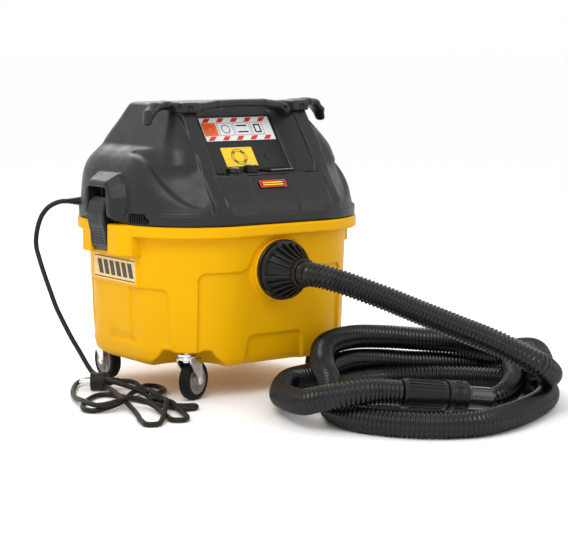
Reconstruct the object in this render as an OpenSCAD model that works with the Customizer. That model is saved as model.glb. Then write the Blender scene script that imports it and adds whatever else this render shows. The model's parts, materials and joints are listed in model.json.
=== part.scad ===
// Shop vacuum: four-caster wet and dry extractor with hose and power lead.
// Units are millimetres. +X is the right side seen from the front, -Y the
// front with the hose inlet, +Z up. The floor is z = 0.

/* [Tank] */
// half width of the rim flange
rim_hw = 232;   // [200:260]
// half depth of the rim flange
rim_hl = 204.5; // [180:230]
// underside of the rim flange
rim_z = 280;    // [240:300]
// top face of the tank
tank_top = 299; // [260:320]
// wall thickness of the tank
wall = 3.5;     // [2.5:0.5:6]
// height of the hose inlet centre
port_z = 220;   // [180:240]

/* [Head] */
// flat top of the head
head_top = 500; // [440:520]
// wall thickness of the head shells
skin = 3;       // [2:0.5:5]
// height of the console shelf
shelf_z = 381;  // [360:400]

/* [Casters] */
// caster stem position to each side
stem_x = 158;   // [140:170]
// caster stem position front and back
stem_y = 143;   // [120:150]
// wheel radius
wheel_r = 34;   // [25:38]
// trail between stem and axle
trail = 20;     // [10:30]

/* [Hose and lead] */
// outside radius of the suction hose
hose_r = 21;    // [15:25]
// outside radius of the power lead
lead_r = 4.3;   // [3:0.1:5]

/* [Which] */
// sub-part to draw

/* [Hidden] */
$fn = 48;
yellow = [0.95, 0.70, 0.02];
black = [0.10, 0.10, 0.11];
rubber = [0.05, 0.05, 0.05];
steel = [0.72, 0.73, 0.74];
grey = [0.62, 0.60, 0.57];

// points of an arc
function arc(cx, cy, r, a, b, n) =
    [for (i = [0:n]) let(t = a + (b - a) * i / n) [cx + r * cos(t), cy + r * sin(t)]];
// rounded outline between y0 (front) and y1 (back), at height z
function ring(z, hw, y0, y1, r, n = 8) = [for (p = concat(
    arc(hw - r, y1 - r, r, 0, 90, n), arc(-hw + r, y1 - r, r, 90, 180, n),
    arc(-hw + r, y0 + r, r, 180, 270, n), arc(hw - r, y0 + r, r, 270, 360, n)))
    [p[0], p[1], z]];
// solid skinned over a stack of outlines with equal point counts
module loft(s) {
    n = len(s[0]);
    m = len(s);
    polyhedron(points = [for (q = s) each q],
        faces = concat([[for (i = [0:n - 1]) i]],
            [for (k = [0:m - 2], i = [0:n - 1]) each let(j = (i + 1) % n) [
                [k * n + i, (k + 1) * n + i, k * n + j],
                [k * n + j, (k + 1) * n + i, (k + 1) * n + j]]],
            [[for (i = [n - 1:-1:0]) (m - 1) * n + i]]), convexity = 6);
}
// straight-sided block from eight corners, lower four then upper four
module block8(p) {
    polyhedron(points = p, faces = [[0, 1, 2, 3], [7, 6, 5, 4], [0, 4, 5, 1],
        [1, 5, 6, 2], [2, 6, 7, 3], [3, 7, 4, 0]]);
}
// cylinder along Y from y0 to y1
module ycyl(x, z, r, y0, y1) {
    translate([x, y1, z]) rotate([90, 0, 0]) cylinder(r = r, h = y1 - y0);
}
// cone along Y, radius r0 at y0 and r1 at y1
module ycone(x, z, r0, r1, y0, y1) {
    translate([x, y0, z]) rotate([-90, 0, 0]) cylinder(r1 = r0, r2 = r1, h = y1 - y0);
}
// box between two opposite corners
module box(x0, y0, z0, x1, y1, z1) {
    translate([x0, y0, z0]) cube([x1 - x0, y1 - y0, z1 - z0]);
}
// box given by distances from the middle, drawn on the given side of X and of Y
module sbox(s, x0, x1, y0, y1, z0, z1) {
    box(min(s * x0, s * x1), y0, z0, max(s * x0, s * x1), y1, z1);
}
module qbox(s, t, x0, x1, y0, y1, z0, z1) {
    sbox(s, x0, x1, min(t * y0, t * y1), max(t * y0, t * y1), z0, z1);
}
// side outline in the Y-Z plane, drawn from x0 to x1
module side(pts, x0, x1) {
    translate([x0, 0, 0]) rotate([90, 0, 90]) linear_extrude(height = x1 - x0) polygon(pts);
}
// front outline in the X-Z plane, drawn from y0 to y1
module front(pts, y0, y1) {
    translate([0, y1, 0]) rotate([90, 0, 0]) linear_extrude(height = y1 - y0) polygon(pts);
}

// ---- tank ----
tank_rows = [[55, 196, 174, 126], [66, 203, 180, 130], [82, 206, 183, 133],
    [110, 208, 185, 135], [200, 211, 188, 138], [281, 214, 191, 141]];
// radius of the open wells that the casters turn in
well_r = 58;
module tank_outer() loft([for (r = tank_rows) ring(r[0], r[1], -r[2], r[2], r[3])]);
module each_caster() {
    for (a = [-1, 1], b = [-1, 1]) translate([a * stem_x, b * stem_y, 0]) children();
}
module tank() color(yellow) difference() {
    union() {
        difference() {
            tank_outer();
            difference() {
                loft([for (r = tank_rows) ring(r[0] + (r[0] < 60 ? wall : r[0] > 280 ? 1 : 0),
                    r[1] - wall, -r[2] + wall, r[2] - wall, r[3] - wall)]);
                each_caster() cylinder(r = well_r + wall, h = 82 + wall);
                for (b = [-1, 1]) qbox(1, b, -60, 60, 169, 200, 50, 112);
            }
        }
        // badge pads
        for (s = [-1, 1]) sbox(s, 206, 213.5, -74, 74, 192, 243);
    }
    each_caster() cylinder(r = well_r, h = 82);
    each_caster() cylinder(r = 5, h = 90);
    // window for the port panel
    box(-60, -210, 160, 60, -180, 276);
    // foot recess, front and back
    for (b = [-1, 1]) qbox(1, b, -62, 62, 173, 200, 50, 108);
    // shallow panels in the side, front and back walls
    difference() {
        for (s = [-1, 1], t = [-1, 1]) {
            qbox(s, t, 170, 222, 42, 138, 104, 188);
            qbox(s, t, 64, 148, 140, 200, 118, 220);
        }
        loft([for (r = tank_rows) ring(r[0], r[1] - 1.4, -r[2] + 1.4, r[2] - 1.4, r[3] - 1.4)]);
    }
    latch_cuts();
}
// slots and pin holes of the two latches
module latch_cuts() for (s = [-1, 1]) {
    sbox(s, 219, 250, -28.5, 28.5, 240, 305);
    ycyl(s * 226, 256, 2.5, -40, 40);
}
// flange that the head stands on, with the latch brackets under it
module tank_rim() color(yellow) difference() {
    union() {
        loft([ring(rim_z, rim_hw - 1.5, -rim_hl + 1.5, rim_hl - 1.5, 148.5),
            ring(rim_z + 2, rim_hw, -rim_hl, rim_hl, 150),
            ring(tank_top - 2, rim_hw, -rim_hl, rim_hl, 150),
            ring(tank_top, rim_hw - 1.5, -rim_hl + 1.5, rim_hl - 1.5, 148.5)]);
        for (s = [-1, 1]) sbox(s, 209, 244, -82, 56, 246, 290);
    }
    tank_outer();
    loft([ring(270, 214 - wall, -191 + wall, 191 - wall, 141 - wall),
        ring(tank_top + 1, 214 - wall, -191 + wall, 191 - wall, 141 - wall)]);
    latch_cuts();
}
// front plate with the round boss that holds the inlet
module port_panel() color(yellow) difference() {
    union() {
        box(-60, -189, 160, 60, -184.5, 276);
        ycyl(0, port_z, 56, -198, -184.5);
    }
    ycyl(0, port_z, 31, -205, -180);
}
module side_badge() color(black)
    for (s = [-1, 1]) sbox(s, 213.5, 214.7, -70, 70, 196, 239);
module inlet_ring() color(black) difference() {
    union() {
        ycyl(0, port_z, 52, -rim_hl, -198);
        ycyl(0, port_z, 31, -198, -181);
    }
    ycyl(0, port_z, 27, -210, -170);
}
module inlet_deflector() color(black) {
    // hood behind the inlet that turns the air stream down and aside
    difference() {
        union() {
            ycyl(0, port_z, 40, -183.4, -181);
            box(-40, -183.4, 180, 40, -181, 220);
            front([[-42, 205], [-42, 262], [42, 262], [42, 205], [39, 205], [39, 259],
                [-39, 259], [-39, 205]], -183.4, -150);
            box(-42, -150, 205, 42, -147, 262);
        }
        ycyl(0, port_z, 31, -190, -175);
    }
}
module latch_pins() color(steel) for (s = [-1, 1]) ycyl(s * 226, 256, 2.5, -40, 40);

// ---- latches ----
module latch_half() difference() {
    union() {
        front([[221.5, 257], [223.5, 296], [226, 302], [226.5, 338], [231, 343.5], [240, 343],
            [247.5, 333], [251.5, 314], [250, 296], [246, 282], [244.5, 262], [238, 250], [228, 249.8]],
            -27, 27);
        ycyl(226, 256, 6.3, -27, 27);
    }
    ycyl(226, 256, 2.58, -30, 30);
    // grip ridges
    for (z = [262:5:287]) box(244.2 + (z - 262) * 0.12, -22, z, 256, 22, z + 2);
    // hollow behind the grip
    box(220, -22, 305, 240, 22, 330);
    box(229.5, -22, 268, 240, 22, 302);
}
module latch_right() color(black) latch_half();
module latch_left() color(black) mirror([1, 0, 0]) latch_half();

// ---- casters ----
module caster_mounts() color(steel) each_caster() difference() {
    union() {
        translate([0, 0, 79]) cylinder(r = 17, h = 3);
        translate([0, 0, 70]) cylinder(r = 5, h = 20);
        translate([0, 0, 67.5]) cylinder(r = 7, h = 2.5);
    }
    translate([0, 0, 60]) cylinder(r = 2, h = 8.5);
}
// heading angles of the four casters
turns = [24, 150, -90, 200];
module at_caster(i) {
    translate([(i % 2 == 0 ? -1 : 1) * stem_x, (i < 2 ? -1 : 1) * stem_y, 0])
        rotate([0, 0, turns[i]]) children();
}
module fork(i) color(steel) at_caster(i) difference() {
    union() {
        ycyl(trail, wheel_r, 4, -17, 17);
        for (y = [-17, 14.5]) ycyl(trail, wheel_r, 6.5, y, y + 2.5);
        translate([0, 0, 71]) cylinder(r = 16, h = 7.4);
        box(-8, -14.5, 71.5, 24, 14.5, 74);
        for (s = [-14.5, 12]) front([[-8, 74], [24, 74], [27, 40], [27, 30], [22, 26], [18, 26],
            [13, 30], [12, 40], [-8, 66]], s, s + 2.5);
    }
    translate([0, 0, 60]) cylinder(r = 5.08, h = 30);
    translate([0, 0, 60]) cylinder(r = 7.6, h = 12.5);
}
module hub(i) color(grey) at_caster(i) translate([trail, 0, wheel_r]) rotate([90, 0, 0])
    rotate_extrude() polygon([[4.08, -11], [9, -11], [9, -5], [20, -5], [21.5, -9], [24, -9],
        [24, 9], [21.5, 9], [20, 5], [9, 5], [9, 11], [4.08, 11]]);
module tyre(i) color(rubber) at_caster(i) translate([trail, 0, wheel_r]) rotate([90, 0, 0])
    rotate_extrude() polygon([[24, -9], [30.5, -9.5], [33, -7.5], [wheel_r, -4], [wheel_r, 4],
        [33, 7.5], [30.5, 9.5], [24, 9]]);
module fork_fl() fork(0);
module fork_fr() fork(1);
module fork_rl() fork(2);
module fork_rr() fork(3);
module hub_fl() hub(0);
module hub_fr() hub(1);
module hub_rl() hub(2);
module hub_rr() hub(3);
module tyre_fl() tyre(0);
module tyre_fr() tyre(1);
module tyre_rl() tyre(2);
module tyre_rr() tyre(3);

// ---- head ----
head_rows = [[300.3, 230, -202, 202, 148], [318, 229, -200, 201, 147],
    [321.5, 226, -196, 198, 144], [345, 224, -187, 196, 138], [366, 221, -174, 194, 134],
    [385, 216, -158, 190, 128], [400, 207, -147, 184, 118], [412, 195, -138, 176, 108],
    [424, 176, -128, 164, 92], [433, 150, -118, 148, 72], [438, 120, -108, 130, 52]];
hump_rows = [[425, 172, -130, 138, 32], [440, 164, -119, 131, 30], [470, 146, -96, 115, 28],
    [493, 133, -80, 103, 26], [500, 126, -74, 96, 22]];
motor_y = 25;
filter_x = 95;
filter_y = 22;
knob_y = -137;
split_z = 424;
module head_outer(d) {
    loft([for (r = head_rows) ring(r[0] - (r[0] > 301 ? d : sign(d)), r[1] - d, r[2] + d,
        r[3] - d, r[4] - d)]);
    loft([for (r = hump_rows) ring(r[0] - d, r[1] - d, r[2] + d, r[3] - d, r[4] - d)]);
}
// console recess with flared side walls, grown by g
module recess(g) {
    h = shelf_z - g;
    a = 80 + g;
    b = 105 + g;
    block8([[-a, -116 + g, h], [-b, -160, h], [b, -160, h], [a, -116 + g, h],
        [-a, -18 + g, 515], [-b, -62, 515], [b, -62, 515], [a, -18 + g, 515]]);
    block8([[-b, -159, h], [-b, -240, h], [b, -240, h], [b, -159, h],
        [-b, -61, 515], [-b, -240, 515], [b, -240, 515], [b, -61, 515]]);
}
module mirrored() {
    children();
    mirror([1, 0, 0]) children();
}
module handle_seat() mirrored() box(102, -96, 484, 131, -52, 520);
module lead_axis() translate([-191.5, 147.5, 322]) rotate([0, 0, 144.3]) rotate([0, 90, 0]) children();
pod_face = [[-54, 300.3], [-52, 345], [-40, 366], [40, 366], [52, 345], [54, 300.3]];
pod_pts = [[-69, 300.3], [-66, 345], [-54, 370], [-34, 383], [34, 383], [54, 370], [66, 345], [69, 300.3]];
block_pts = [[-163, 381], [-180, 362], [-201, 324], [-201, 321.5], [-118, 321.5], [-118, 381]];
// pillars each side of the console
module pillars() intersection() {
    mirrored() side([[-200, 321.5], [-157, 381], [-147, 404], [-88, 486], [-82, 496],
        [-40, 496], [-60, 400], [-120, 321.5]], 104, 131);
    loft([ring(320, 229, -200, 201, 147), ring(520, 229, -200, 201, 147)]);
}
// hollow upper shell, before it is split at split_z
module head_shell() difference() {
    head_outer(0);
    recess(0);
    difference() {
        head_outer(skin);
        recess(skin);
    }
    mirrored() side(pod_pts, 190, 260);
    side(block_pts, -104, 104);
    pillars();
    handle_seat();
    handle_bar();
    // vent window on the left skirt
    at_vent() box(-18, -19, 304, 12, 19, 317);
    lead_axis() translate([0, 0, -30]) cylinder(r = 8, h = 60);
}
module head_cover() color(black) intersection() {
    head_shell();
    box(-260, -260, 290, 260, 260, split_z);
}
module head_dome() color(black) intersection() {
    head_shell();
    box(-260, -260, split_z, 260, 260, 520);
}
// arched pods over the latches
module latch_pods() color(black) mirrored() difference() {
    union() {
        side(pod_pts, 215.2, 236);
        side(pod_face, 236, 248);
    }
    side([[-31, 295], [-31, 340], [-22, 358], [22, 358], [31, 340], [31, 295]], 219, 250);
}
// pillars and the front block below the shelf
module console_frame() color(black) difference() {
    union() {
        pillars();
        difference() {
            side(block_pts, -104, 104);
            side([[-161.5, 378], [-177.5, 360.5], [-197.5, 324], [-197.5, 320], [-117, 320], [-117, 378]],
                -101, 101);
        }
    }
    recess(0);
    handle_seat();
    handle_bar();
    for (x = [-56, -22]) translate([x, knob_y, 370]) cylinder(r = 6, h = 20);
    translate([33, knob_y, 370]) cylinder(r = 18, h = 20);
}
module head_base() color(black) difference() {
    union() {
        loft([ring(300.3, 226, -198, 198, 144), ring(304.3, 226, -198, 198, 144)]);
        difference() {
            loft([ring(304.3, 200, -170, 172, 118), ring(318, 200, -170, 172, 118)]);
            loft([ring(304, 196, -166, 168, 114), ring(315, 196, -166, 168, 114)]);
        }
    }
    mirrored() box(215.2, -69, 290, 240, 69, 310);
    mirrored() translate([filter_x, filter_y, 290]) cylinder(r = 26, h = 20);
    translate([0, motor_y, 310]) cylinder(r = 28, h = 20);
    translate([0, -95, 290]) cylinder(r = 13, h = 20);
    difference() {
        loft([ring(299, 215, -192, 192, 140), ring(302, 215, -192, 192, 140)]);
        loft([ring(298, 211, -188, 188, 136), ring(303, 211, -188, 188, 136)]);
    }
    screw_holes();
}
module head_gasket() color(rubber) difference() {
    loft([ring(299.3, 215, -192, 192, 140), ring(302, 215, -192, 192, 140)]);
    loft([ring(298, 211, -188, 188, 136), ring(303, 211, -188, 188, 136)]);
}
module screw_holes() for (a = [-1, 1], b = [-1, 1]) translate([a * 150, b * 120, 0]) {
    translate([0, 0, 300.3]) cylinder(r = 4, h = 2.5);
    translate([0, 0, 302.8]) cylinder(r = 2, h = 10);
}
module screws() color(steel) {
    screw_holes();
    mirrored() ycyl(117, 491, 4.5, -96, -91);
}
module on_panel() translate([0, -117.61, 382.18]) rotate([53.82, 0, 0]) children();
module on_block() translate([0, -171.5, 371.5]) rotate([48.18, 0, 0]) children();
module console() color(black) difference() {
    union() {
        box(-79, -156, 381, 79, -116, 383);
        intersection() {
            on_panel() box(-79, -2, -1.95, 79, 122, 0);
            box(-79, -200, 381, 79, 0, 500);
        }
        for (x = [3.8, 58.6]) box(x, -122, 383, x + 3.6, -116.5, 389);
    }
    for (x = [-56, -22]) translate([x, knob_y, 370]) cylinder(r = 6, h = 20);
    translate([33, knob_y, 370]) cylinder(r = 18, h = 20);
    translate([0, -119.5, 386]) rotate([0, 90, 0]) cylinder(r = 1.58, h = 70);
}
module labels() {
    on_panel() color([0.8, 0.8, 0.8]) box(-73, 65, 0, 73, 113, 0.4);
    on_panel() color(yellow) box(-52, 12, 0, 13, 51, 0.4);
    on_block() color([0.6, 0.1, 0.1]) box(-28, -7, 0, 26, 7, 0.4);
}
// cross section of the handle at x, z with heading a
function hsec(x, y, z, a, t, w) = let(c = min(t, w) * 0.3)
    [for (q = [[w / 2 - c, t / 2], [-w / 2 + c, t / 2], [-w / 2 + c * 0.3, t / 2 - c * 0.3],
        [-w / 2, t / 2 - c], [-w / 2, -t / 2 + c], [-w / 2 + c * 0.3, -t / 2 + c * 0.3],
        [-w / 2 + c, -t / 2], [w / 2 - c, -t / 2], [w / 2 - c * 0.3, -t / 2 + c * 0.3],
        [w / 2, -t / 2 + c], [w / 2, t / 2 - c], [w / 2 - c * 0.3, t / 2 - c * 0.3]])
        [x - q[1] * sin(a), y + q[0], z + q[1] * cos(a)]];
bar = [[-184, -62, 467, 98, 8, 18], [-184.5, -62, 478, 85, 10, 20], [-179, -62, 489, 50, 11, 22],
    [-165, -63, 496, 16, 12, 24], [-142, -65, 498, 2, 13, 26], [-118, -69, 497, -6, 15, 30],
    [-100, -70, 494.5, -4, 18, 31], [-84, -70, 494.5, 5, 19, 31], [-50, -70, 497, 3, 19, 31],
    [0, -70, 498, 0, 19, 31]];
module handle_bar() loft(concat([for (p = bar) hsec(p[0], p[1], p[2], p[3], p[4], p[5])],
    [for (i = [len(bar) - 2:-1:0]) let(p = bar[i]) hsec(-p[0], p[1], p[2], -p[3], p[4], p[5])]));
module handle() color(black) difference() {
    union() {
        handle_bar();
        handle_foot();
    }
    mirrored() ycyl(117, 491, 4.5, -100, -91);
}
module handle_foot() mirrored() box(102, -96, 484, 131, -52, 498);
module at_vent() translate([-223.6, -97, 0]) rotate([0, 0, 16.9]) children();
module vent_grille() color(black) at_vent() {
    box(4, -19, 304.3, 6, 19, 317);
    for (y = [-15:6:15]) box(-1, y - 1, 304.3, 4, y + 1, 317);
}
module strain_relief() color(rubber) lead_axis() {
    translate([0, 0, -12]) cylinder(r = 8, h = 18);
    translate([0, 0, 6]) cylinder(r1 = 8, r2 = 5.4, h = 18);
}

// ---- motor ----
module on_motor() translate([0, motor_y, 0]) children();
module tube(r0, r1, z0, z1) difference() {
    translate([0, 0, z0]) cylinder(r = r1, h = z1 - z0);
    translate([0, 0, z0 - 1]) cylinder(r = r0, h = z1 - z0 + 2);
}
module motor_housing() color(grey) on_motor() difference() {
    union() {
        tube(67, 70, 318, 446);
        tube(28, 67, 318, 321);
        tube(11, 67, 344, 347);
        tube(11, 67, 443, 446);
    }
    for (i = [0:5]) rotate([0, 0, i * 60]) {
        box(55, -10, 420, 80, 10, 440);
        translate([45, 0, 340]) cylinder(r = 9, h = 10);
    }
}
module motor_stator() color(steel) on_motor() tube(31, 67, 355, 397);
module motor_bearings() color(steel) on_motor() {
    tube(5, 11, 341, 348);
    tube(5, 11, 440, 447);
}
module motor_foam() color(grey) on_motor() tube(73, 84, 318, 430);
module rotor() color(steel) on_motor() {
    translate([0, 0, 323]) cylinder(r = 4.93, h = 130);
    tube(4.93, 30, 353, 399);
    tube(4.93, 14, 405, 421);
}
module impeller() color(steel) on_motor() difference() {
    union() {
        translate([0, 0, 324]) cylinder(r = 60, h = 2);
        translate([0, 0, 324]) cylinder(r = 12, h = 13);
        for (i = [0:7]) rotate([0, 0, i * 45]) translate([10, 0, 325])
            rotate([0, 0, 25]) cube([46, 2, 11]);
    }
    translate([0, 0, 320]) cylinder(r = 4.93, h = 30);
}

// ---- filters and float ----
module on_filters() mirrored() translate([filter_x, filter_y, 0]) children();
module filter_media() color([0.9, 0.88, 0.8]) on_filters() translate([0, 0, 184])
    linear_extrude(height = 106.3) difference() {
        polygon([for (i = [0:71]) let(r = i % 2 == 0 ? 52 : 43) [r * cos(i * 5), r * sin(i * 5)]]);
        circle(r = 34);
    }
module filter_caps() color(rubber) on_filters() {
    translate([0, 0, 178]) cylinder(r = 54, h = 6);
    tube(26, 54, 290.3, 300.3);
}
module on_float() translate([0, -95, 0]) children();
module float_cage() color(black) on_float() {
    difference() {
        union() {
            tube(10, 20, 240, 243);
            tube(13, 20, 296.5, 300.3);
            for (i = [0:3]) rotate([0, 0, i * 90]) box(16.5, -2.5, 242, 20, 2.5, 297);
        }
    }
}
module float_ball() color([0.9, 0.5, 0.1]) on_float() translate([0, 0, 255]) sphere(r = 15);

// ---- controls ----
module circuit_board() color([0.1, 0.4, 0.2]) {
    box(100, -70, 326, 175, 10, 327.6);
    for (x = [104, 171], y = [-66, 6]) translate([x, y, 318]) cylinder(r = 3, h = 8);
    box(110, -60, 327.6, 130, -40, 345);
    box(140, -50, 327.6, 165, -30, 339);
    translate([120, -12, 327.6]) cylinder(r = 9, h = 26);
}
module switch_bodies() color(grey) for (x = [-56, -22]) difference() {
    box(x - 13, knob_y - 13, 352, x + 13, knob_y + 13, 378);
    translate([x, knob_y, 362]) cylinder(r = 3, h = 20);
}
module knob(x, r, h) translate([x, knob_y, 0]) {
    difference() {
        translate([0, 0, 383.6]) cylinder(r = r, h = h);
        for (i = [0:11]) rotate([0, 0, i * 30]) translate([r + 0.8, 0, 385]) cylinder(r = 1.6, h = h);
    }
    translate([0, 0, 363]) cylinder(r = 2.93, h = 21);
}
module mode_knob() color(black) knob(-56, 14, 9);
module airflow_knob() color(black) knob(-22, 12.5, 13);
module outlet_socket() color(grey) translate([33, knob_y, 0]) difference() {
    translate([0, 0, 360]) cylinder(r = 18, h = 23);
    translate([0, 0, 370]) cylinder(r = 14.5, h = 20);
    for (x = [-9.5, 9.5]) translate([x, 0, 362]) cylinder(r = 2.6, h = 20);
}
module outlet_flap() color(black) {
    box(9, -155, 384, 57.5, -120, 386.4);
    translate([8, -119.5, 386]) rotate([0, 90, 0]) cylinder(r = 2.4, h = 50);
    translate([4.2, -119.5, 386]) rotate([0, 90, 0]) cylinder(r = 1.5, h = 57.6);
}

// ---- hose, tool end and lead ----
module hose_connector() color(black) difference() {
    union() {
        ycyl(0, port_z, 50, -214, -205);
        ycone(0, port_z, 23.5, 47, -262, -214);
        ycyl(0, port_z, 24, -266, -262);
    }
    ycyl(0, port_z, 17, -270, -180);
}
// tube that turns in the inlet ring
module connector_spigot() color(black) difference() {
    ycyl(0, port_z, 26.93, -205, -183);
    ycyl(0, port_z, 17, -270, -180);
}
function unit(v) = v / norm(v);
// rings of a swept tube through points p with radius r and n sides
module sweep(p, r, n) {
    m = len(p);
    t = [for (i = [0:m - 1]) unit(p[min(i + 1, m - 1)] - p[max(i - 1, 0)])];
    s = [for (i = [0:m - 1]) let(u = unit(cross(t[i], abs(t[i][2]) > 0.97 ? [1, 0, 0] : [0, 0, 1])),
        v = cross(u, t[i]))
        [for (k = [0:n - 1]) p[i] + r * (cos(k * 360 / n) * u + sin(k * 360 / n) * v)]];
    loft(s);
}
hose_pts = [
    [0, -267, 220], [0, -281, 220], [12, -300, 217], [36, -322, 208], [82, -373, 185],
    [119, -430, 162], [151, -491, 141], [182, -551, 120], [229, -593, 88],
    [283, -562, 63], [320, -500, 62], [371, -448, 62],
    [406, -387, 67], [382, -317, 58], [334, -265, 71], [267, -243, 80], [196, -228, 89],
    [125, -226, 94], [57, -246, 88], [13, -298, 66], [-22, -360, 55], [-56, -415, 23],
    [-74, -483, 21], [-52, -551, 21], [-6, -606, 21], [58, -636, 21], [129, -628, 21],
    [196, -602, 21], [260, -568, 21], [315, -523, 21], [353, -464, 21], [335, -396, 21],
    [294, -340, 21], [240, -294, 21], [179, -262, 21], [110, -263, 21], [44, -286, 21],
    [4, -342, 21], [19, -410, 21], [78, -448, 21], [141, -479, 21], [201, -518, 22],
    [264, -493, 36], [313, -441, 52], [366, -397, 50], [403, -344, 21], [397, -272, 24],
    [330, -250, 31], [259, -241, 38], [188, -229, 47], [117, -233, 52], [48, -247, 43],
    [-22, -253, 38], [-73, -300, 30], [-105, -363, 35], [-123, -432, 42], [-121, -462, 51],
    [-107, -490, 59], [-80, -508, 64], [-44, -520, 64], [-11, -534, 60]];
lead_pts = [
    [-211.5, 162, 322], [-225, 171, 321], [-242, 178, 313], [-255, 182, 298], [-265, 182, 274],
    [-270, 179, 246], [-269, 167, 218], [-266, 155, 191], [-261, 144, 163], [-256, 133, 136],
    [-249, 120, 110], [-242, 106, 85], [-234, 90, 60], [-227, 75, 37], [-225, 62, 26]];
module hose() color(rubber) sweep(hose_pts, hose_r, 10);
module power_lead() color(rubber) sweep(lead_pts, lead_r, 8);
module lead_hank() color(rubber) linear_extrude(height = 28) {
    polygon([[-352, -122], [-349, -108], [-321, -38], [-300, 12], [-256, 75], [-244, 88], [-228, 95],
        [-216.5, 90], [-216.5, -258], [-244, -286], [-256, -293], [-312, -297], [-328, -282]]);
    polygon([[-216, 90], [-213, 86], [-180, 10], [-138, -26], [-140, -42], [-150, -84], [-216, -84]]);
    polygon([[-216, -202], [-174, -202], [-180, -215], [-216, -257]]);
}
module at_tool() translate([-11, -534, 60]) rotate([0, 0, -22.6]) rotate([0, 96, 0]) children();
module tool_cuff() color(black) at_tool() difference() {
    union() {
        cylinder(r1 = 23.5, r2 = 22, h = 74);
        translate([0, 0, 74]) cylinder(r = 17, h = 50);
    }
    translate([0, 0, -1]) cylinder(r = 14, h = 130);
}
module lock_collar() color(black) at_tool() difference() {
    translate([0, 0, 74.5]) cylinder(r = 25, h = 33);
    translate([0, 0, 70]) cylinder(r = 17.08, h = 40);
}
module nozzle() color(black) at_tool() difference() {
    union() {
        translate([0, 0, 108]) cylinder(r = 19, h = 4);
        translate([0, 0, 112]) cylinder(r = 18, h = 36);
    }
    translate([0, 0, 100]) cylinder(r = 17, h = 24);
    translate([0, 0, 100]) cylinder(r = 15.5, h = 60);
}
module at_plug() translate([-203, 6, 17]) rotate([0, 0, 144.3]) rotate([0, 90, 0]) children();
module plug() color(black) at_plug() {
    cylinder(r1 = 5.5, r2 = 9, h = 20);
    translate([0, 0, 20]) cylinder(r = 16.5, h = 30);
}
module plug_pins() color(steel) at_plug() for (y = [-9.5, 9.5])
    translate([0, y, 50]) cylinder(r = 2.4, h = 19);

tank();
tank_rim();
port_panel();
side_badge();
inlet_ring();
inlet_deflector();
latch_pins();
caster_mounts();
hose();
tool_cuff();
nozzle();
power_lead();
lead_hank();
plug();
plug_pins();
head_base();
head_gasket();
head_cover();
head_dome();
latch_pods();
console_frame();
console();
handle();
screws();
motor_housing();
motor_stator();
motor_bearings();
motor_foam();
filter_media();
filter_caps();
circuit_board();
switch_bodies();
outlet_socket();
strain_relief();
labels();
vent_grille();
float_cage();
rotor();
impeller();
float_ball();
mode_knob();
airflow_knob();
outlet_flap();
latch_left();
latch_right();
hose_connector();
connector_spigot();
lock_collar();
fork_fl();
fork_fr();
fork_rl();
fork_rr();
hub_fl();
hub_fr();
hub_rl();
hub_rr();
tyre_fl();
tyre_fr();
tyre_rl();
tyre_rr();
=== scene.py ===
"""Shop vacuum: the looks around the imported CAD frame. Lengths are in millimetres until a mesh is made."""
import json
import math

import bpy
import numpy as np
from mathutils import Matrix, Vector


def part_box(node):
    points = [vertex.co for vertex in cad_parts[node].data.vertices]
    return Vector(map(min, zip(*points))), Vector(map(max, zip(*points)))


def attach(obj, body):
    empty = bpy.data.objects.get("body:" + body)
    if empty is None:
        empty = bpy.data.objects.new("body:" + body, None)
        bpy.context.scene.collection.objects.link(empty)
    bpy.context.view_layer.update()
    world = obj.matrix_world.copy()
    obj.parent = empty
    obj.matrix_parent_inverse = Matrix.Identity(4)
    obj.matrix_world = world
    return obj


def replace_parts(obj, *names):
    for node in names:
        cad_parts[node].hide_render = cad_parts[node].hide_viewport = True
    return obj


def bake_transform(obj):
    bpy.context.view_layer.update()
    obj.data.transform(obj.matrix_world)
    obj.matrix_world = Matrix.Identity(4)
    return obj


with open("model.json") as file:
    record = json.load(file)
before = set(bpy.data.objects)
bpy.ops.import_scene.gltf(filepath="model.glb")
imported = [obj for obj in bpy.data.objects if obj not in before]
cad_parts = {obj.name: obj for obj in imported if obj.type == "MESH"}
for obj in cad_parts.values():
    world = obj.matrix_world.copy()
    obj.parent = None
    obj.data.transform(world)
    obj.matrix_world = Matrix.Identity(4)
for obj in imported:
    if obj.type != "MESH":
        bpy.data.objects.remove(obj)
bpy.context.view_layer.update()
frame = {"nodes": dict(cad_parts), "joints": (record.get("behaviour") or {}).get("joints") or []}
MM = 0.001


# ---------------------------------------------------------------- camera
def make_camera():
    cam = bpy.data.objects.new("camera", bpy.data.cameras.new("camera"))
    bpy.context.scene.collection.objects.link(cam)
    cam.data.sensor_width = 36
    cam.data.lens = 113.3
    heading, pitch = math.radians(35.743), math.radians(7.536)
    look = Vector((math.sin(heading) * math.cos(pitch), math.cos(heading) * math.cos(pitch),
                   -math.sin(pitch)))
    cam.location = (-1.7663, -2.6591, 0.6049)
    cam.rotation_mode = "QUATERNION"
    cam.rotation_quaternion = look.to_track_quat("-Z", "Y")
    bpy.context.scene.camera = cam


make_camera()


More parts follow.
